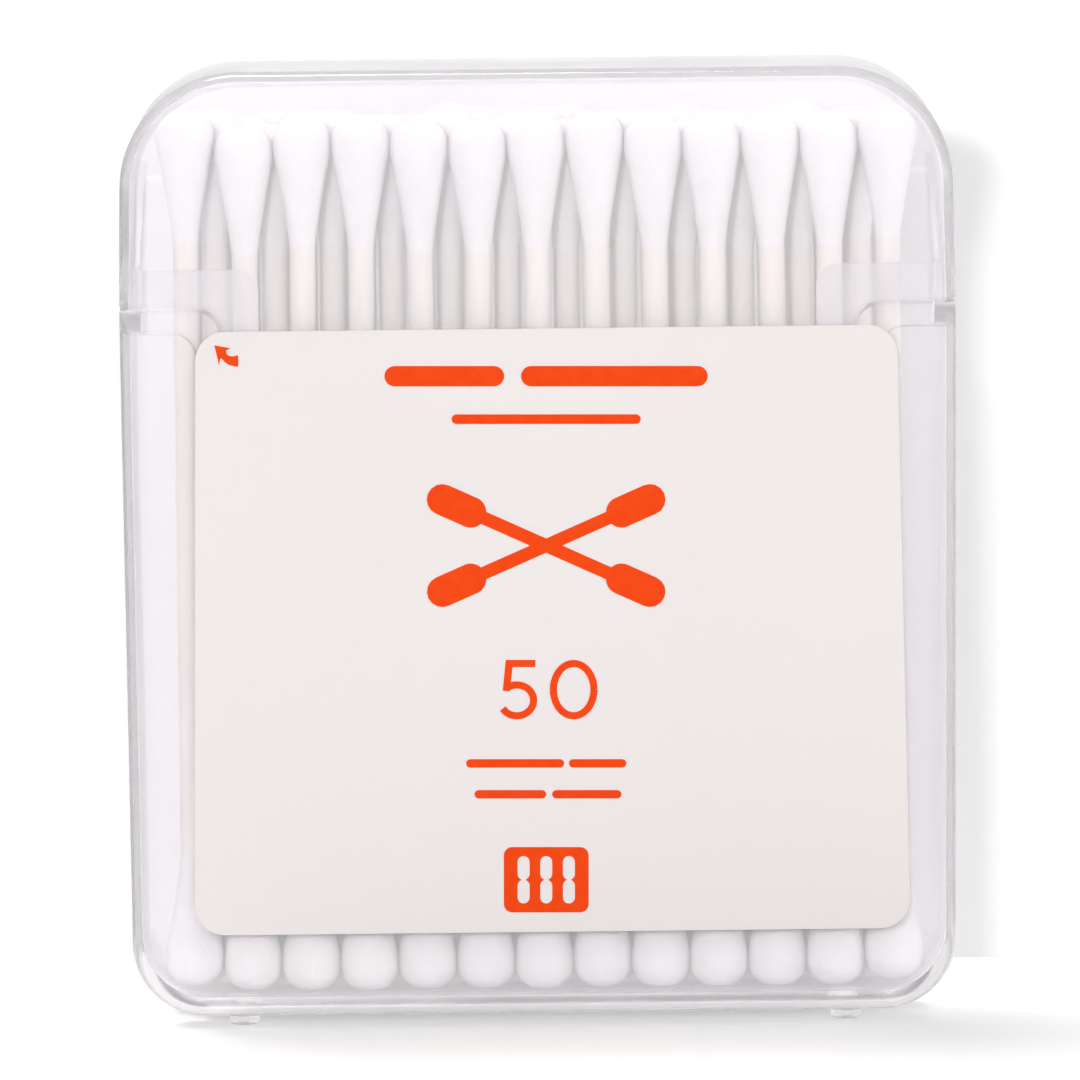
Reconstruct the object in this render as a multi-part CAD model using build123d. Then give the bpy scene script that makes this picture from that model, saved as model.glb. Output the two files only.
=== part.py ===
from build123d import *
import os
from math import radians, sqrt, tan

# Travel case for cotton swabs: a moulded body, a flip-up lid that runs down the front as a broad
# tongue, a thin hinge web behind, a label on the tongue and four nested rows of swabs.
# It stands on its feet with its front facing -Y. Lengths are in millimetres, angles in degrees.

# Swabs
swab_length = 74.0
head_diameter = 4.84
stick_diameter = 2.2
head_end_length = 1.4
head_barrel_length = 4.4
head_taper_length = 6.8
head_end_share = 0.45
swab_sides = 6

# Packing of the swabs
wide_row_swabs = 13
row_count = 4
swab_gap = 0.06
row_gap = 0.06
rest_gap = 0.05

# Room round the swabs
side_room = 2.28
front_room = 0.2
rear_room = 1.35
head_room = 2.75

# Walls and outline of the case
wall = 0.9
floor_thickness = 1.6
lid_height = 19.8
body_draft = 0.46
lid_draft = 1.0
top_corner_radius = 9.8
bottom_corner_radius = 6.2
edge_radius = 1.8
inner_bevel = 0.5

# Seam between body and lid
seam_gap = 0.15
seam_level_run = 4.0
seam_corner_radius = 2.0
hinge_rise = 10.0
neck_fit = 0.2
neck_wall = 0.7
neck_height = 3.3
neck_root = 2.0
neck_rear_inset = 4.0
tongue_side_inset = 8.4
tongue_corner_radius = 4.0

# Hinge web
hinge_side_inset = 12.0
hinge_thickness = 0.25
hinge_loop_radius = 0.75

# Label
label_thickness = 0.15
label_glue = 0.03
label_top_drop = 1.8
label_bottom_margin = 7.0
label_top_lap = 2.7
label_bottom_lap = 3.4
label_sideways = 0.7
label_corner_radius = 2.5

# Feet
foot_height = 0.9
foot_diameter = 2.4
foot_flare = 0.3
foot_side_inset = 9.7
foot_depth_inset = 3.5

# How far cutting shapes run past what they cut
overrun = 5.0

# Sizes that follow from those above
swab_pitch = head_diameter + swab_gap
row_pitch = swab_pitch * sqrt(3) / 2 + row_gap
neck_inset = wall + neck_fit + neck_wall
case_width = 2 * (wall + side_room) + (wide_row_swabs - 1) * swab_pitch + head_diameter
case_depth = neck_inset + front_room + (row_count - 1) * row_pitch + head_diameter + rear_room + wall
base_z = foot_height
floor_z = base_z + floor_thickness
top_z = floor_z + rest_gap + swab_length + head_room + wall
seam_z = top_z - lid_height
hinge_z = seam_z + hinge_rise
front_y = -case_depth / 2
rear_y = case_depth / 2
half_seam = case_width / 2
half_base = half_seam - (seam_z - base_z) * tan(radians(body_draft))
half_top = half_seam - lid_height * tan(radians(lid_draft))
tongue_half = half_seam - tongue_side_inset
label_bottom_z = base_z + label_bottom_margin
label_top_z = seam_z - label_top_drop
tongue_bottom_z = label_bottom_z + label_bottom_lap


def rounded(sketch, points, radius):
    """Rounds the corners of a sketch that lie at the given points."""
    corners = [min(sketch.vertices(), key=lambda v: (Vector(v) - Vector(*p)).length) for p in points]
    return fillet(corners, radius)


def envelope(inset, floor):
    """The case as a solid block, drawn in by inset, with its underside raised by floor.

    Its front and rear edges are rounded on the outside and bevelled on what lies within.
    """
    low, high = base_z + floor, top_z - inset
    base, waist, top = half_base - inset, half_seam - inset, half_top - inset
    bottom_corners = [(-base, low), (base, low)]
    waist_corners = [(waist, seam_z), (-waist, seam_z)]
    top_corners = [(top, high), (-top, high)]
    outline = Polygon(*bottom_corners, waist_corners[0], *top_corners, waist_corners[1], align=None)
    outline = rounded(outline, bottom_corners, bottom_corner_radius - inset)
    outline = rounded(outline, top_corners, top_corner_radius - inset)
    block = extrude(Plane.XZ * outline, amount=case_depth / 2 - inset, both=True)
    faces = block.faces().sort_by(Axis.Y)
    edges = faces[0].edges() + faces[-1].edges()
    return chamfer(edges, inner_bevel) if inset else fillet(edges, edge_radius)


def lid_space(grow):
    """Everything above the seam, with the tongue's place in the front wall, grown by grow."""
    slope = hinge_rise / (case_depth - seam_level_run)
    slant = grow * sqrt(1 + slope**2)
    level_end = front_y + seam_level_run + (slant - grow) / slope
    far_y = rear_y + overrun
    far_z = top_z + overrun
    side_view = Polygon(
        (front_y - overrun, seam_z - grow),
        (level_end, seam_z - grow),
        (far_y, hinge_z - slant + slope * overrun),
        (far_y, far_z),
        (front_y - overrun, far_z),
        align=None,
    )
    upper = extrude(Plane.YZ * side_view, amount=half_seam + overrun, both=True)
    half, low, seam = tongue_half + grow, tongue_bottom_z - grow, seam_z - grow
    inner_corners = [(-half, seam), (half, seam)]
    tongue_corners = [(-half, low), (half, low)]
    front_view = Polygon(
        (-half_seam - overrun, seam),
        inner_corners[0],
        *tongue_corners,
        inner_corners[1],
        (half_seam + overrun, seam),
        (half_seam + overrun, far_z),
        (-half_seam - overrun, far_z),
        align=None,
    )
    front_view = rounded(front_view, inner_corners, seam_corner_radius)
    front_view = rounded(front_view, tongue_corners, tongue_corner_radius)
    behind_wall = Plane((0, front_y + seam_level_run, 0), x_dir=(1, 0, 0), z_dir=(0, -1, 0))
    return upper + extrude(behind_wall * front_view, amount=seam_level_run + overrun)


def make_feet():
    height = foot_height + floor_thickness / 2
    foot = Pos(0, 0, height / 2) * Cone(foot_diameter / 2, foot_diameter / 2 + foot_flare, height)
    x, y = half_seam - foot_side_inset, case_depth / 2 - foot_depth_inset
    return [Pos(sx, sy, 0) * foot for sx in (-x, x) for sy in (-y, y)]


def make_case_body(shell, seam):
    """Lower shell with its feet and the neck that the lid closes over."""
    bore = envelope(neck_inset, floor_thickness)
    neck_end_y = rear_y - neck_rear_inset
    depth_kept = neck_end_y - front_y + overrun
    kept = Pos(0, neck_end_y - depth_kept / 2, top_z / 2) * Box(
        case_width + overrun, depth_kept, top_z + overrun
    )
    neck = (envelope(wall + neck_fit, floor_thickness) - bore) & (seam - lid_space(-neck_height)) & kept
    root = (envelope(wall / 2, floor_thickness / 2) - bore) & (lid_space(neck_root) - seam) & kept
    body = shell - seam + root + neck
    for foot in make_feet():
        body += foot
    return body


def make_lid(shell):
    return shell & lid_space(-seam_gap)


def make_hinge():
    """Half loop of thin web on the rear faces of body and lid."""
    ring = Circle(hinge_loop_radius) - Circle(hinge_loop_radius - hinge_thickness)
    behind = Pos(hinge_loop_radius, 0) * Rectangle(2 * hinge_loop_radius, 2 * hinge_loop_radius)
    at_hinge = Plane((0, rear_y, hinge_z), x_dir=(0, 1, 0), z_dir=(1, 0, 0))
    return extrude(at_hinge * (ring & behind), amount=half_seam - hinge_side_inset, both=True)


def make_label():
    top_half, bottom_half = tongue_half + label_top_lap, tongue_half + label_bottom_lap
    points = [
        (label_sideways - bottom_half, label_bottom_z),
        (label_sideways + bottom_half, label_bottom_z),
        (label_sideways + top_half, label_top_z),
        (label_sideways - top_half, label_top_z),
    ]
    sheet = rounded(Polygon(*points, align=None), points, label_corner_radius)
    on_front = Plane((0, front_y - label_glue, 0), x_dir=(1, 0, 0), z_dir=(0, -1, 0))
    return extrude(on_front * sheet, amount=label_thickness)


def band(below, above):
    """Flat faces between the corners of two regular outlines, one above the other."""
    low, high = below.face().outer_wire().vertices(), above.face().outer_wire().vertices()
    corners = list(zip(low, high))
    return [
        Face(Wire.make_polygon([a, b, d, c]))
        for (a, c), (b, d) in zip(corners, corners[1:] + corners[:1])
    ]


def make_swab():
    """One swab standing on the origin: stick with a cotton head at each end, in flat facets."""
    head, stick = head_diameter / 2, stick_diameter / 2
    barrel_end = head_end_length + head_barrel_length
    lower = [
        (0, head * head_end_share),
        (head_end_length, head),
        (barrel_end, head),
        (barrel_end + head_taper_length, stick),
    ]
    upper = [(swab_length - z, r) for z, r in reversed(lower)]
    rings = [Pos(0, 0, z) * RegularPolygon(r, swab_sides) for z, r in lower + upper]
    bands = [band(below, above) for below, above in zip(rings, rings[1:])]
    return Solid(Shell([rings[0].face(), *sum(bands, []), rings[-1].face()]))


def floor_lift(x):
    """How far the rounded floor corner lifts a swab that stands at x."""
    radius = bottom_corner_radius - wall
    curve_start = half_base - wall - radius
    lift = 0
    for reach, height in ((head_diameter / 2 * head_end_share, 0), (head_diameter / 2, head_end_length)):
        past = min(max(abs(x) + reach - curve_start, 0), radius)
        lift = max(lift, radius - sqrt(radius**2 - past**2) - height)
    return lift


def swab_places():
    first_y = front_y + neck_inset + front_room + head_diameter / 2
    for row in range(row_count):
        count = wide_row_swabs - row % 2
        for place in range(count):
            x = (place - (count - 1) / 2) * swab_pitch
            yield x, first_y + row * row_pitch, floor_z + rest_gap + floor_lift(x)


shell = envelope(0, 0) - envelope(wall, floor_thickness)
parts = {
    "case_body": make_case_body(shell, lid_space(0)),
    "lid": make_lid(shell),
    "living_hinge": make_hinge(),
    "front_label": make_label(),
}
swab = make_swab()
for number, place in enumerate(swab_places(), start=1):
    parts[f"swab_{number:02d}"] = Pos(*place) * swab

os.makedirs("parts", exist_ok=True)
for name, shape in parts.items():
    export_step(shape, f"parts/{name}.step")
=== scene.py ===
"""Looks of the travel case of cotton swabs: clear shells, printed label, hinge web and swabs."""

import math
import random

import bpy
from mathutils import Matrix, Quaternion, Vector, noise


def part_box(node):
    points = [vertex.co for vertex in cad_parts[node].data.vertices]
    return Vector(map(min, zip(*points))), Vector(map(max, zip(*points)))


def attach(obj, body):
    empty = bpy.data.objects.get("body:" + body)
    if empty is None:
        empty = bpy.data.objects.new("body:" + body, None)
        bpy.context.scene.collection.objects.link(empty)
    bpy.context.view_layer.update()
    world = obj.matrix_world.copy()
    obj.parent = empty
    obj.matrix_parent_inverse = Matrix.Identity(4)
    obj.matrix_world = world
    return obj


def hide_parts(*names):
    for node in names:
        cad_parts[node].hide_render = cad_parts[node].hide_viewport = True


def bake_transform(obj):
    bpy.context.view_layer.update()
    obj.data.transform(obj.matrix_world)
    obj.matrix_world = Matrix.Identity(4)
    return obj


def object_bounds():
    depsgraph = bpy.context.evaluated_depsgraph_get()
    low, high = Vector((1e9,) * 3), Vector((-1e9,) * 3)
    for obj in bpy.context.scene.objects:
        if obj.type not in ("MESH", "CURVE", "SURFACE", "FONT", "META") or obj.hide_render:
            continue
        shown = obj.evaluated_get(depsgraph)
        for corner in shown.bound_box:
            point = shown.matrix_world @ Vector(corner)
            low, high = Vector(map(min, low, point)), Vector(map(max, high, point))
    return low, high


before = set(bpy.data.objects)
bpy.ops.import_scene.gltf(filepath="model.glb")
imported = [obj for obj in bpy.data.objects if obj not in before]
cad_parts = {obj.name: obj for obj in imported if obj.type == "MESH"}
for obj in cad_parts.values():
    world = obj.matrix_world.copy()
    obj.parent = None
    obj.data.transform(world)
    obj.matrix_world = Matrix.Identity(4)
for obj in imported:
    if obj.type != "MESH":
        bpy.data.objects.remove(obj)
cad_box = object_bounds()

# Lengths are in metres, angles in degrees and powers in watts. The front of the case faces -Y.

# Camera
view_width = 0.0912
camera_distance = 1.1
camera_rise = 5.0
camera_roll = -0.62
sensor_width_mm = 36.0
aim_height = 0.0399
near_clip = 0.01

# Room: floor and backdrop, and how far they are lifted towards white. For the camera the lift grows
# with the distance from the case, between lift_start and lift_end.
floor_half = 4.0
backdrop_gap = 0.022
backdrop_half = 1.5
paper_colour = (0.93, 0.93, 0.93, 1)
floor_lift = 0.3
backdrop_lift = 0.27
far_lift = 0.5
through_lift = 0.45
lift_start = 0.12
lift_end = 0.6

# Light: the room's own, and each softbox with its place, size and power
room_colour = (1.0, 0.995, 0.99, 1)
room_light = 0.31
mirrored_share = 0.9
softboxes = {
    "key_softbox": ((-0.17, -1.035, 0.22), 0.07, 3.95),
    "side_softbox": ((0.9, -0.45, 0.3), 0.5, 2.5),
    "top_softbox": ((-0.12, 0.24, 0.86), 0.25, 3.0),
}
most_bounces = 7
most_diffuse_bounces = 2

# Shells
edge_break = 0.00018
edge_segments = 2
sharp_angle = 40.0
flat_angle = 0.5
weld_reach = 0.000001

# Hinge web
web_thickness = 0.00025
web_turns = 24
web_columns = 12

# Swabs
swab_sides = 24
head_radius = 0.00247
stick_radius = 0.00108
dome_length = 0.0021
barrel_length = 0.0029
head_length = 0.0110
dome_power = 0.85
taper_power = 1.2
shorter_by = 0.0012
lifted_by = 0.0002
head_gap = 0.00002
head_lumps = 0.00005
lump_size = 0.0016
stick_bow = 0.0003
least_bow_share = 0.2
dome_rings = 7
barrel_rings = 4
taper_rings = 10
stick_rings = 10

# Print on the label. Drops run down from the middle of the label's top edge.
ink_thickness = 0.00004
under_ink_share = 0.5
flag_ink_share = 0.6
print_turn = 0.6

# Bars, each by its middle and its length
title_drop = 0.0040
title_width = 0.0017
title_bars = ((-0.0085, 0.0100), (0.0057, 0.0156))
subtitle_drop = 0.0076
subtitle_width = 0.0008
subtitle_bars = ((0, 0.0158),)
note_drop = 0.0365
note_step = 0.0026
note_width = 0.0007
upper_note_bars = ((-0.0026, 0.0082), (0.0043, 0.0048))
lower_note_bars = ((-0.0030, 0.0060), (0.0034, 0.0058))

# Crossed swabs
picture_drop = 0.0182
picture_length = 0.0216
picture_head = 0.0026
picture_stick = 0.0011
picture_turn = 24

# Count of swabs
count_drop = 0.0303
figure_height = 0.0050
figure_width = 0.0034
figure_step = 0.0046
figure_stroke = 0.0006
five_bowl = 0.0016
five_start = 128
five_end = -148
five_steps = 28
five_foot_shares = (0.6, 0.4)
nought_steps = 40

# Tile with three small swabs
tile_drop = 0.0463
tile_width = 0.0071
tile_height = 0.0055
tile_corner = 0.0007
mark_step = 0.0019
mark_length = 0.0040
mark_head = 0.0010
mark_stick = 0.0004

# Peel arrow, by its tip
arrow_drop = 0.0014
arrow_side = 0.0277
arrow_width = 0.0020

swab_names = sorted(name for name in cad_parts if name.startswith("swab_"))


def add_node(tree, kind, inputs=None, **settings):
    """Adds a node; an input given as a socket is linked, any other is written on the socket."""
    node = tree.nodes.new(kind)
    for name, value in settings.items():
        setattr(node, name, value)
    for name, value in (inputs or {}).items():
        if isinstance(value, bpy.types.NodeSocket):
            tree.links.new(value, node.inputs[name])
        else:
            node.inputs[name].default_value = value
    return node


def make_mottle_group():
    """Patches of two colours and a fine grain, both stretched as the material asks."""
    tree = bpy.data.node_groups.new("soft_mottle", "ShaderNodeTree")
    sockets = (
        ("Colour", "INPUT", "NodeSocketColor"),
        ("Patch Colour", "INPUT", "NodeSocketColor"),
        ("Stretch", "INPUT", "NodeSocketVector"),
        ("Patch Scale", "INPUT", "NodeSocketFloat"),
        ("Grain Scale", "INPUT", "NodeSocketFloat"),
        ("Colour", "OUTPUT", "NodeSocketColor"),
        ("Patches", "OUTPUT", "NodeSocketFloat"),
        ("Grain", "OUTPUT", "NodeSocketFloat"),
    )
    for name, way, kind in sockets:
        tree.interface.new_socket(name, in_out=way, socket_type=kind)
    given = add_node(tree, "NodeGroupInput").outputs
    place = add_node(tree, "ShaderNodeTexCoord").outputs["Object"]
    stretched = add_node(
        tree, "ShaderNodeVectorMath", {0: place, 1: given["Stretch"]}, operation="MULTIPLY"
    ).outputs["Vector"]
    patches = add_node(
        tree, "ShaderNodeTexNoise",
        {"Vector": stretched, "Scale": given["Patch Scale"], "Detail": 0.0, "Roughness": 0.55},
    ).outputs["Fac"]
    grain = add_node(
        tree, "ShaderNodeTexNoise",
        {"Vector": stretched, "Scale": given["Grain Scale"], "Detail": 1.0, "Roughness": 0.65},
    ).outputs["Fac"]
    spread = add_node(
        tree, "ShaderNodeMapRange", {"Value": patches, "From Min": 0.35, "From Max": 0.65}
    ).outputs["Result"]
    colour = add_node(
        tree, "ShaderNodeMix", {0: spread, 6: given["Colour"], 7: given["Patch Colour"]}, data_type="RGBA"
    ).outputs[2]
    result = add_node(tree, "NodeGroupOutput").inputs
    tree.links.new(colour, result["Colour"])
    tree.links.new(spread, result["Patches"])
    tree.links.new(grain, result["Grain"])
    return tree


def start_material(name, mottle, colour, patch_colour, stretch, patch_scale, grain_scale):
    """A material with the mottle on its base colour. Gives it with its tree, shader and mottle."""
    material = bpy.data.materials.new(name)
    material.use_nodes = True
    tree = material.node_tree
    shader = tree.nodes["Principled BSDF"]
    patches = tree.nodes.new("ShaderNodeGroup")
    patches.node_tree = mottle
    patches.inputs["Colour"].default_value = (*colour, 1)
    patches.inputs["Patch Colour"].default_value = (*patch_colour, 1)
    patches.inputs["Stretch"].default_value = stretch
    patches.inputs["Patch Scale"].default_value = patch_scale
    patches.inputs["Grain Scale"].default_value = grain_scale
    tree.links.new(patches.outputs["Colour"], shader.inputs["Base Color"])
    return material, tree, shader, patches


def set_roughness(tree, shader, value, smoothest, roughest):
    spread = add_node(
        tree, "ShaderNodeMapRange", {"Value": value, "To Min": smoothest, "To Max": roughest}
    )
    tree.links.new(spread.outputs["Result"], shader.inputs["Roughness"])


def set_bump(tree, shader, height, strength, distance):
    bump = add_node(
        tree, "ShaderNodeBump", {"Height": height, "Strength": strength, "Distance": distance}
    )
    tree.links.new(bump.outputs["Normal"], shader.inputs["Normal"])


def clear_plastic(mottle):
    """Natural clear plastic with a slight violet haze, drawn out along the flow of the moulding."""
    material, tree, shader, flow = start_material(
        "clear_plastic", mottle, colour=(0.955, 0.937, 0.956), patch_colour=(0.94, 0.922, 0.945),
        stretch=(1.0, 1.0, 0.45), patch_scale=60.0, grain_scale=240.0,
    )
    shader.inputs["Transmission Weight"].default_value = 0.745
    shader.inputs["IOR"].default_value = 1.15
    shader.inputs["Coat Weight"].default_value = 0.3
    shader.inputs["Coat Roughness"].default_value = 0.12
    set_roughness(tree, shader, flow.outputs["Patches"], smoothest=0.1, roughest=0.16)
    clear = add_node(tree, "ShaderNodeBsdfTransparent", {"Color": (0.95, 0.942, 0.95, 1)})
    shadow_ray = add_node(tree, "ShaderNodeLightPath").outputs["Is Shadow Ray"]
    mixed = add_node(
        tree, "ShaderNodeMixShader",
        {0: shadow_ray, 1: shader.outputs["BSDF"], 2: clear.outputs["BSDF"]},
    )
    tree.links.new(mixed.outputs["Shader"], tree.nodes["Material Output"].inputs["Surface"])
    return material


def cotton(mottle):
    """Wound cotton: soft patches, fine fibres along the winding."""
    material, tree, shader, fluff = start_material(
        "wound_cotton", mottle, colour=(0.935, 0.926, 0.92), patch_colour=(0.91, 0.90, 0.892),
        stretch=(1.0, 1.0, 0.7), patch_scale=700.0, grain_scale=3200.0,
    )
    shader.inputs["Specular IOR Level"].default_value = 0.0
    set_roughness(tree, shader, fluff.outputs["Grain"], smoothest=0.85, roughest=1.0)
    set_bump(tree, shader, fluff.outputs["Grain"], strength=0.6, distance=0.00012)
    return material


def rolled_paper(mottle):
    """Paper stick, rolled on the skew, so that its seam runs round it as a screw line."""
    material, tree, shader, pulp = start_material(
        "rolled_paper", mottle, colour=(0.935, 0.872, 0.808), patch_colour=(0.905, 0.828, 0.757),
        stretch=(1.0, 1.0, 0.25), patch_scale=500.0, grain_scale=2600.0,
    )
    shader.inputs["Specular IOR Level"].default_value = 0.3
    set_roughness(tree, shader, pulp.outputs["Grain"], smoothest=0.6, roughest=0.8)
    place = add_node(tree, "ShaderNodeTexCoord").outputs["Object"]
    seam = add_node(
        tree, "ShaderNodeTexWave", {"Vector": place, "Scale": 42.0, "Distortion": 0.6, "Detail": 1.0},
        bands_direction="DIAGONAL",
    ).outputs["Fac"]
    both = add_node(tree, "ShaderNodeMath", {0: seam, 1: pulp.outputs["Grain"]}, operation="ADD")
    set_bump(tree, shader, both.outputs["Value"], strength=0.25, distance=0.00008)
    return material


def label_film(mottle):
    """Satin film with a faint cloudiness."""
    material, tree, shader, cloud = start_material(
        "label_film", mottle, colour=(0.90, 0.842, 0.838), patch_colour=(0.885, 0.836, 0.822),
        stretch=(1.0, 1.0, 1.0), patch_scale=45.0, grain_scale=5200.0,
    )
    shader.inputs["Specular IOR Level"].default_value = 0.35
    set_roughness(tree, shader, cloud.outputs["Grain"], smoothest=0.4, roughest=0.52)
    return material


def orange_ink(mottle):
    """Printed orange, a touch uneven in the solid."""
    material, tree, shader, lay = start_material(
        "orange_ink", mottle, colour=(0.99, 0.072, 0.003), patch_colour=(0.96, 0.064, 0.002),
        stretch=(1.0, 1.0, 1.0), patch_scale=900.0, grain_scale=5200.0,
    )
    shader.inputs["Specular IOR Level"].default_value = 0.08
    set_roughness(tree, shader, lay.outputs["Grain"], smoothest=0.45, roughest=0.6)
    return material


def stage_paper(name, near_lift):
    """White paper that keeps shadows, lifted to white for what looks at it, more so further off."""
    material = bpy.data.materials.new(name)
    material.use_nodes = True
    tree = material.node_tree
    shader = tree.nodes["Principled BSDF"]
    shader.inputs["Base Color"].default_value = paper_colour
    shader.inputs["Roughness"].default_value = 1.0
    shader.inputs["Specular IOR Level"].default_value = 0.0
    rays = add_node(tree, "ShaderNodeLightPath").outputs
    through = add_node(
        tree, "ShaderNodeMath", {0: rays["Is Glossy Ray"], 1: rays["Is Transmission Ray"]},
        operation="MAXIMUM",
    ).outputs["Value"]
    place = add_node(tree, "ShaderNodeTexCoord").outputs["Object"]
    distance = add_node(tree, "ShaderNodeVectorMath", {0: place}, operation="LENGTH").outputs["Value"]
    rising = add_node(
        tree, "ShaderNodeMapRange",
        {
            "Value": distance,
            "From Min": lift_start,
            "From Max": lift_end,
            "To Min": near_lift,
            "To Max": far_lift,
        },
    ).outputs["Result"]
    seen = add_node(
        tree, "ShaderNodeMath", {0: rays["Is Camera Ray"], 1: rising}, operation="MULTIPLY"
    ).outputs["Value"]
    lift = add_node(
        tree, "ShaderNodeMath", {0: through, 1: through_lift, 2: seen}, operation="MULTIPLY_ADD"
    )
    glow = add_node(tree, "ShaderNodeEmission", {"Color": (1, 1, 1, 1), "Strength": lift.outputs[0]})
    both = add_node(tree, "ShaderNodeAddShader", {0: shader.outputs["BSDF"], 1: glow.outputs["Emission"]})
    hidden = add_node(tree, "ShaderNodeBsdfTransparent")
    behind = add_node(tree, "ShaderNodeNewGeometry").outputs["Backfacing"]
    front = add_node(
        tree, "ShaderNodeMixShader", {0: behind, 1: both.outputs["Shader"], 2: hidden.outputs["BSDF"]}
    )
    tree.links.new(front.outputs["Shader"], tree.nodes["Material Output"].inputs["Surface"])
    return material


def new_piece(name, points, faces, materials, smooth=True):
    mesh = bpy.data.meshes.new(name)
    mesh.from_pydata(points, [], faces)
    mesh.validate()
    for material in materials:
        mesh.materials.append(material)
    mesh.polygons.foreach_set("use_smooth", [smooth] * len(mesh.polygons))
    mesh.update()
    piece = bpy.data.objects.new(name, mesh)
    bpy.context.scene.collection.objects.link(piece)
    return piece


def finish_shell(shell, plastic):
    """Clear plastic on a moulded shell, with its sharp edges broken as a mould leaves them."""
    shell.data.materials.clear()
    shell.data.materials.append(plastic)
    weld = shell.modifiers.new("weld", "WELD")
    weld.merge_threshold = weld_reach
    flats = shell.modifiers.new("flats", "DECIMATE")
    flats.decimate_type = "DISSOLVE"
    flats.angle_limit = math.radians(flat_angle)
    edges = shell.modifiers.new("broken_edges", "BEVEL")
    edges.width = edge_break
    edges.segments = edge_segments
    edges.limit_method = "ANGLE"
    edges.angle_limit = math.radians(sharp_angle)
    edges.use_clamp_overlap = False
    shell.modifiers.new("even_shading", "WEIGHTED_NORMAL")


def head_outline():
    """Distances from the head's end and radii there: dome, barrel and taper to the stick."""
    rows = []
    for step in range(1, dome_rings + 1):
        turn = step / dome_rings * math.pi / 2
        rows.append((dome_length * (1 - math.cos(turn)), head_radius * math.sin(turn) ** dome_power))
    for step in range(1, barrel_rings + 1):
        rows.append((dome_length + (barrel_length - dome_length) * step / barrel_rings, head_radius))
    for step in range(1, taper_rings + 1):
        share = step / taper_rings
        radius = stick_radius + (head_radius - stick_radius) * (1 - share) ** taper_power
        rows.append((barrel_length + (head_length - barrel_length) * share, radius))
    return rows


def make_swab(name, number, materials, room):
    """One swab in the place of its node, with lumps of its own, a slight bow and its own length.

    Its heads are pressed flat where they would pass room to either side.
    """
    low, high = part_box(name)
    draw = random.Random(number)
    length = high.z - low.z - draw.uniform(0, shorter_by)
    lift = draw.uniform(0, lifted_by)
    bow_turn = draw.uniform(0, 2 * math.pi)
    bow = draw.uniform(least_bow_share, 1.0) * stick_bow
    seed = Vector((number, 2 * number, 3 * number))
    head = head_outline()
    rows = [(s, r, True) for s, r in head]
    middle = length - 2 * head_length
    rows += [(head_length + middle * k / stick_rings, stick_radius, False) for k in range(1, stick_rings)]
    rows += [(length - s, r, True) for s, r in reversed(head)]
    points = []
    for z, radius, is_head in rows:
        lean = bow * math.sin(math.pi * z / length) ** 2
        shift = Vector((math.cos(bow_turn), math.sin(bow_turn), 0)) * lean
        cotton_share = (radius - stick_radius) / (head_radius - stick_radius) if is_head else 0.0
        for side in range(swab_sides):
            turn = 2 * math.pi * side / swab_sides
            out = Vector((math.cos(turn), math.sin(turn), 0))
            lump = noise.noise((out * radius + Vector((0, 0, z))) / lump_size + seed)
            away = radius - head_lumps * max(0.0, cotton_share) * (0.5 + 0.5 * lump)
            spot = shift + out * away + Vector((0, 0, z))
            spot.x = max(-room, min(room, spot.x))
            points.append(spot)
    faces = []
    for ring in range(len(rows) - 1):
        for side in range(swab_sides):
            a, b = ring * swab_sides + side, ring * swab_sides + (side + 1) % swab_sides
            faces.append((a, b, b + swab_sides, a + swab_sides))
    last = (len(rows) - 1) * swab_sides
    points += [Vector((0, 0, 0)), Vector((0, 0, length))]
    for side in range(swab_sides):
        after = (side + 1) % swab_sides
        faces.append((len(points) - 2, after, side))
        faces.append((len(points) - 1, last + side, last + after))
    piece = new_piece(f"cotton_{name}", points, faces, materials)
    for face in piece.data.polygons:
        z = face.center.z
        face.material_index = 0 if min(z, length - z) < head_length else 1
    piece.location = ((low.x + high.x) / 2, (low.y + high.y) / 2, low.z + lift)
    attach(piece, "case")
    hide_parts(name)


def make_label_sheet(material):
    """The label as its node has it, with its face set back by the thickness of the ink."""
    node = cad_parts["front_label"]
    low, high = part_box("front_label")
    mesh = node.data.copy()
    mesh.name = "label_sheet"
    mesh.materials.clear()
    mesh.materials.append(material)
    middle = (low.y + high.y) / 2
    for vertex in mesh.vertices:
        if vertex.co.y < middle:
            vertex.co.y += ink_thickness
    sheet = bpy.data.objects.new("label_sheet", mesh)
    bpy.context.scene.collection.objects.link(sheet)
    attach(sheet, "flip_lid")
    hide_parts("front_label")


def level_bars(bars, drop, width, steps=10):
    """Outlines of level bars with round ends, each given by its middle and its length."""
    outlines = []
    for middle, length in bars:
        reach = max(length - width, 0) / 2
        outline = []
        for end in (1, -1):
            for step in range(steps + 1):
                angle = math.pi * step / steps - math.pi / 2
                x = middle + end * (reach + math.cos(angle) * width / 2)
                outline.append(Vector((x, end * math.sin(angle) * width / 2 - drop)))
        outlines.append(outline)
    return outlines


def rounded_tile(centre, width, height, radius, steps=6):
    outline = []
    for corner, (sx, sy) in enumerate(((1, 1), (-1, 1), (-1, -1), (1, -1))):
        for step in range(steps + 1):
            angle = math.pi / 2 * (corner + step / steps)
            x = centre[0] + sx * (width / 2 - radius) + radius * math.cos(angle)
            y = centre[1] + sy * (height / 2 - radius) + radius * math.sin(angle)
            outline.append(Vector((x, y)))
    return outline


def ribbon(path, width):
    """Outline of a stroke of even width along a path of points."""
    least_mitre_share = 0.5
    left, right = [], []
    for index, spot in enumerate(path):
        before, after = path[max(index - 1, 0)], path[min(index + 1, len(path) - 1)]
        way = (after - before).normalized()
        inward = (spot - before).normalized() if index else way
        across = Vector((-way.y, way.x)) * width / 2 / max(way.dot(inward), least_mitre_share)
        left.append(spot + across)
        right.append(spot - across)
    return left + right[::-1]


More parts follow.
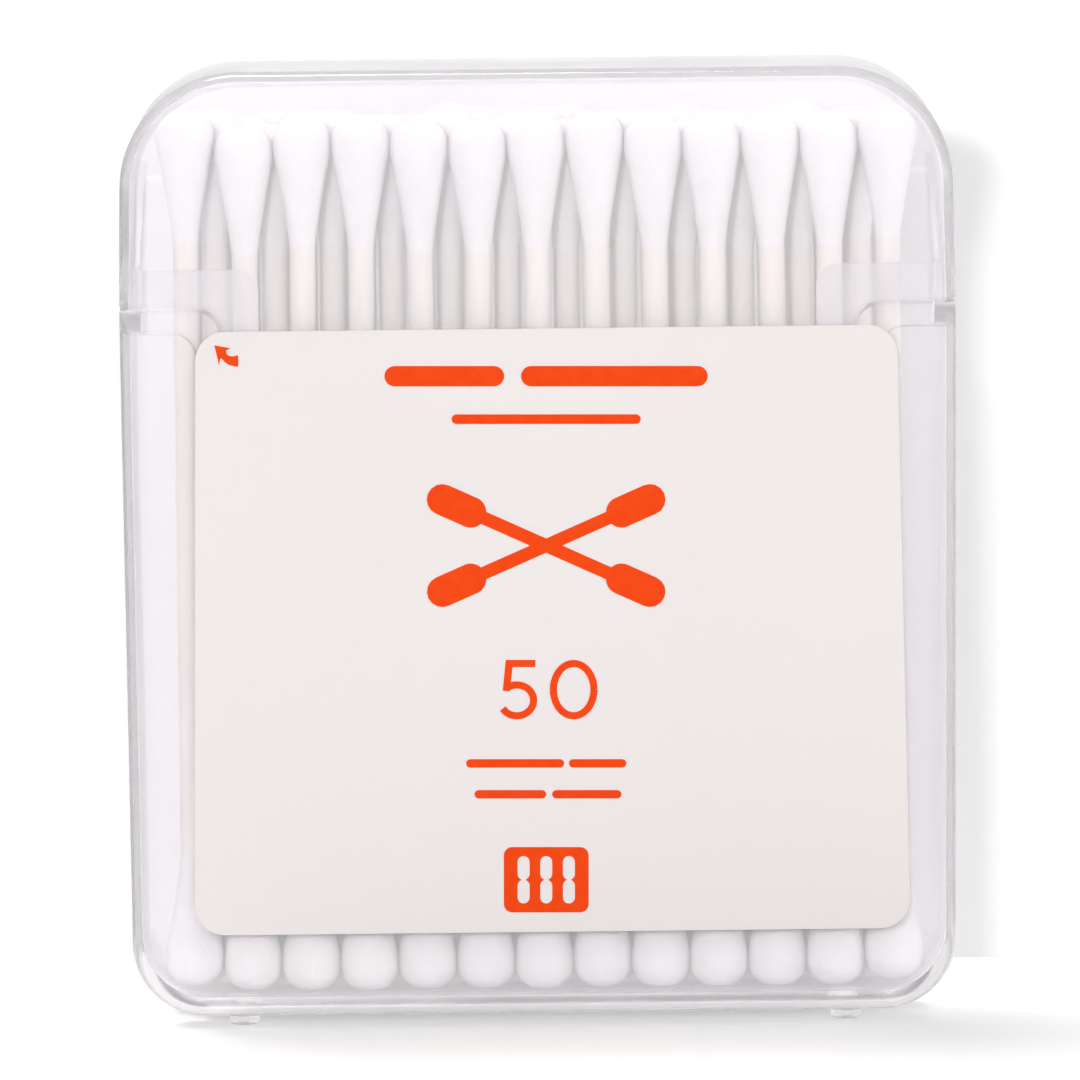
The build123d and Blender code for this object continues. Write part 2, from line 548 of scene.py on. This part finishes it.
def arc(centre, across, up, start, end, steps):
    """Points along a part of an ellipse, from start to end in degrees."""
    turns = [math.radians(start + (end - start) * step / steps) for step in range(steps + 1)]
    return [Vector((centre[0] + across * math.cos(t), centre[1] + up * math.sin(t))) for t in turns]


def print_on_label(name, outlines, material, level=1.0):
    """Thin ink plates on the label, from outlines measured from the middle of its top edge."""
    low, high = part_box("front_label")
    back = low.y + ink_thickness
    face = back - ink_thickness * level
    lean = math.radians(print_turn)
    points, faces = [], []
    for outline in outlines:
        first, count = len(points), len(outline)
        area = sum(a.x * b.y - b.x * a.y for a, b in zip(outline, outline[1:] + outline[:1]))
        if area < 0:
            outline = outline[::-1]
        for y in (face, back):
            for spot in outline:
                x = spot.x * math.cos(lean) + spot.y * math.sin(lean)
                z = spot.y * math.cos(lean) - spot.x * math.sin(lean)
                points.append(Vector(((low.x + high.x) / 2 + x, y, high.z + z)))
        faces.append(tuple(first + k for k in range(count)))
        faces.append(tuple(first + count + k for k in reversed(range(count))))
        for k in range(count):
            after = (k + 1) % count
            faces.append((first + k, first + count + k, first + count + after, first + after))
    piece = new_piece(name, points, faces, [material], smooth=False)
    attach(piece, "flip_lid")


def swab_sign(centre, length, head, stick, turn, steps=8):
    """Outline of a swab drawn flat: a stick with a head at each end, twice as long as it is wide."""
    radius = head / 2
    open_turn = math.asin(stick / head)
    inner, outer = length / 2 - 2 * head + radius, length / 2 - radius
    caps = (
        (inner, -math.pi + open_turn, -math.pi / 2),
        (outer, -math.pi / 2, math.pi / 2),
        (inner, math.pi / 2, math.pi - open_turn),
    )
    outline = []
    for end in (1, -1):
        for middle, first, last in caps:
            for step in range(steps + 1):
                angle = first + (last - first) * step / steps
                outline.append(Vector((middle + radius * math.cos(angle), radius * math.sin(angle))) * end)
    way = Vector((math.cos(math.radians(turn)), math.sin(math.radians(turn))))
    across = Vector((-way.y, way.x))
    return [Vector(centre) + way * spot.x + across * spot.y for spot in outline]


def make_crossed_swabs(ink):
    middle = (0, -picture_drop)
    back = swab_sign(middle, picture_length, picture_head, picture_stick, picture_turn)
    front = swab_sign(middle, picture_length, picture_head, picture_stick, -picture_turn)
    print_on_label("ink_swab_sign_back", [back], ink, under_ink_share)
    print_on_label("ink_swab_sign_front", [front], ink)


def make_count(ink):
    """The count of swabs in plain round figures."""
    half_stroke = figure_stroke / 2
    five_x, nought_x = -figure_step / 2, figure_step / 2
    top, bottom = -count_drop + figure_height / 2, -count_drop - figure_height / 2
    left, right = five_x - figure_width / 2 + half_stroke, five_x + figure_width / 2 - half_stroke
    bowl_middle = (five_x - half_stroke / 2, bottom + five_bowl)
    bowl_reach, bowl_rise = figure_width / 2 - half_stroke, five_bowl - half_stroke
    bowl = arc(bowl_middle, bowl_reach, bowl_rise, five_start, five_end, five_steps)
    foot_side, foot_drop = (share * figure_stroke for share in five_foot_shares)
    flag = [
        Vector((right, top - half_stroke)),
        Vector((left + figure_stroke, top - half_stroke)),
        Vector((left + foot_side, bowl[0].y - foot_drop)),
    ]
    nought_middle = (nought_x, -count_drop)
    nought_rise = figure_height / 2 - half_stroke
    nought = arc(nought_middle, figure_width / 2, nought_rise, start=0, end=360, steps=nought_steps)
    half_way = nought_steps // 2
    nought_halves = [nought[:half_way + 1], nought[half_way:]]
    print_on_label("ink_five_bowl", [ribbon(bowl, figure_stroke)], ink)
    print_on_label("ink_five_flag", [ribbon(flag, figure_stroke)], ink, flag_ink_share)
    print_on_label("ink_nought", [ribbon(half, figure_stroke) for half in nought_halves], ink)


def make_tile(ink, film):
    """Rounded tile with three small swabs left open in it."""
    tile = rounded_tile((0, -tile_drop), tile_width, tile_height, tile_corner)
    marks = [
        swab_sign((place * mark_step, -tile_drop), mark_length, mark_head, mark_stick, turn=90)
        for place in (-1, 0, 1)
    ]
    print_on_label("ink_tile", [tile], ink, under_ink_share)
    print_on_label("tile_marks", marks, film)


def make_peel_arrow(ink):
    """Arrow with its tip towards the label's corner and its tail swept to the right."""
    arrow_shares = (
        (0, 0), (0.14, -0.57), (0.19, -0.83), (0.25, -0.56), (0.3, -0.55), (0.42, -0.69), (0.59, -0.81),
        (0.82, -0.88), (1, -0.9), (1, -0.42), (0.79, -0.47), (0.62, -0.45), (0.51, -0.36), (0.49, -0.21),
        (0.69, -0.13),
    )
    tip = Vector((-arrow_side, -arrow_drop))
    print_on_label("ink_peel_arrow", [[tip + Vector(share) * arrow_width for share in arrow_shares]], ink)


def make_print(ink, film):
    title = level_bars(title_bars, title_drop, title_width)
    subtitle = level_bars(subtitle_bars, subtitle_drop, subtitle_width)
    print_on_label("ink_title_bars", title + subtitle, ink)
    make_crossed_swabs(ink)
    make_count(ink)
    upper_note = level_bars(upper_note_bars, note_drop, note_width)
    lower_note = level_bars(lower_note_bars, note_drop + note_step, note_width)
    print_on_label("ink_note_bars", upper_note + lower_note, ink)
    make_tile(ink, film)
    make_peel_arrow(ink)


def make_hinge_web(material):
    """Half loop of thin web behind the rear seam."""
    low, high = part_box("living_hinge")
    axis_z = (low.z + high.z) / 2
    outer = high.y - low.y
    inner = outer - web_thickness
    points, faces = [], []
    for column in range(web_columns + 1):
        x = low.x + (high.x - low.x) * column / web_columns
        for radius in (outer, inner):
            for step in range(web_turns + 1):
                turn = math.pi * step / web_turns - math.pi / 2
                points.append((x, low.y + radius * math.cos(turn), axis_z + radius * math.sin(turn)))
    across, row = 2 * (web_turns + 1), web_turns + 1
    for column in range(web_columns):
        for step in range(web_turns):
            a = column * across + step
            b = a + across
            faces.append((a, b, b + 1, a + 1))
            faces.append((a + row, a + row + 1, b + row + 1, b + row))
        for step in (0, web_turns):
            a = column * across + step
            b = a + across
            side = (a, a + row, b + row, b)
            faces.append(side if step == 0 else side[::-1])
    for column in (0, web_columns):
        for step in range(web_turns):
            a = column * across + step
            side = (a, a + 1, a + 1 + row, a + row)
            faces.append(side if column == 0 else side[::-1])
    web = new_piece("hinge_web", points, faces, [material])
    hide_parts("living_hinge")
    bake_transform(web)


def make_stage():
    half = floor_half
    floor = new_piece(
        "floor", [(-half, -half, 0), (half, -half, 0), (half, half, 0), (-half, half, 0)], [(0, 1, 2, 3)],
        [stage_paper("floor_paper", floor_lift)],
    )
    wall_y = cad_box[1].y + backdrop_gap
    wide = backdrop_half
    backdrop = new_piece(
        "backdrop", [(-wide, wall_y, 0), (wide, wall_y, 0), (wide, wall_y, wide), (-wide, wall_y, wide)],
        [(0, 1, 2, 3)], [stage_paper("backdrop_paper", backdrop_lift)],
    )
    backdrop.visible_diffuse = False
    backdrop.visible_glossy = False
    backdrop.visible_shadow = False


def make_room_light():
    """Soft light from all round, seen as white, and a little less so in mirrors."""
    world = bpy.data.worlds.new("studio")
    bpy.context.scene.world = world
    world.use_nodes = True
    tree = world.node_tree
    soft = tree.nodes["Background"]
    soft.inputs["Color"].default_value = room_colour
    soft.inputs["Strength"].default_value = room_light
    white = add_node(tree, "ShaderNodeBackground", {"Color": (1, 1, 1, 1), "Strength": 1.0})
    rays = add_node(tree, "ShaderNodeLightPath").outputs
    straight = add_node(
        tree, "ShaderNodeMath", {0: rays["Is Camera Ray"], 1: rays["Is Transmission Ray"]},
        operation="MAXIMUM",
    )
    seen = add_node(
        tree, "ShaderNodeMath", {0: rays["Is Glossy Ray"], 1: mirrored_share, 2: straight.outputs[0]},
        operation="MULTIPLY_ADD", use_clamp=True,
    )
    both = add_node(
        tree, "ShaderNodeMixShader",
        {0: seen.outputs[0], 1: soft.outputs["Background"], 2: white.outputs["Background"]},
    )
    tree.links.new(both.outputs["Shader"], tree.nodes["World Output"].inputs["Surface"])


def add_softbox(name, place, size, power):
    light = bpy.data.lights.new(name, "AREA")
    light.shape = "SQUARE"
    light.size = size
    light.energy = power
    lamp = bpy.data.objects.new(name, light)
    lamp.location = place
    aim = Vector((0, 0, aim_height)) - Vector(place)
    lamp.rotation_mode = "QUATERNION"
    lamp.rotation_quaternion = aim.to_track_quat("-Z", "Y")
    bpy.context.scene.collection.objects.link(lamp)


def make_camera():
    camera = bpy.data.objects.new("camera", bpy.data.cameras.new("camera"))
    camera.data.sensor_width = sensor_width_mm
    camera.data.lens = sensor_width_mm * camera_distance / view_width
    rise = math.radians(camera_rise)
    back = Vector((0, -math.cos(rise), math.sin(rise)))
    camera.location = Vector((0, 0, aim_height)) + back * camera_distance
    camera.rotation_mode = "QUATERNION"
    roll = Quaternion((0, 0, 1), math.radians(camera_roll))
    camera.rotation_quaternion = (-back).to_track_quat("-Z", "Y") @ roll
    camera.data.clip_start = near_clip
    bpy.context.scene.collection.objects.link(camera)
    bpy.context.scene.camera = camera


mottle = make_mottle_group()
plastic = clear_plastic(mottle)
film = label_film(mottle)
swab_materials = [cotton(mottle), rolled_paper(mottle)]

for name in ("case_body", "lid"):
    finish_shell(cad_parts[name], plastic)
make_label_sheet(film)
make_print(orange_ink(mottle), film)
make_hinge_web(plastic)
half_pitch = (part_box(swab_names[1])[0].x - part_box(swab_names[0])[0].x) / 2
for number, name in enumerate(swab_names, start=1):
    make_swab(name, number, swab_materials, half_pitch - head_gap / 2)

make_stage()
make_room_light()
for name, (place, size, power) in softboxes.items():
    add_softbox(name, place, size, power)
make_camera()
scene = bpy.context.scene
scene.view_settings.view_transform = "Standard"
scene.cycles.max_bounces = most_bounces
scene.cycles.diffuse_bounces = most_diffuse_bounces
scene.cycles.caustics_reflective = False
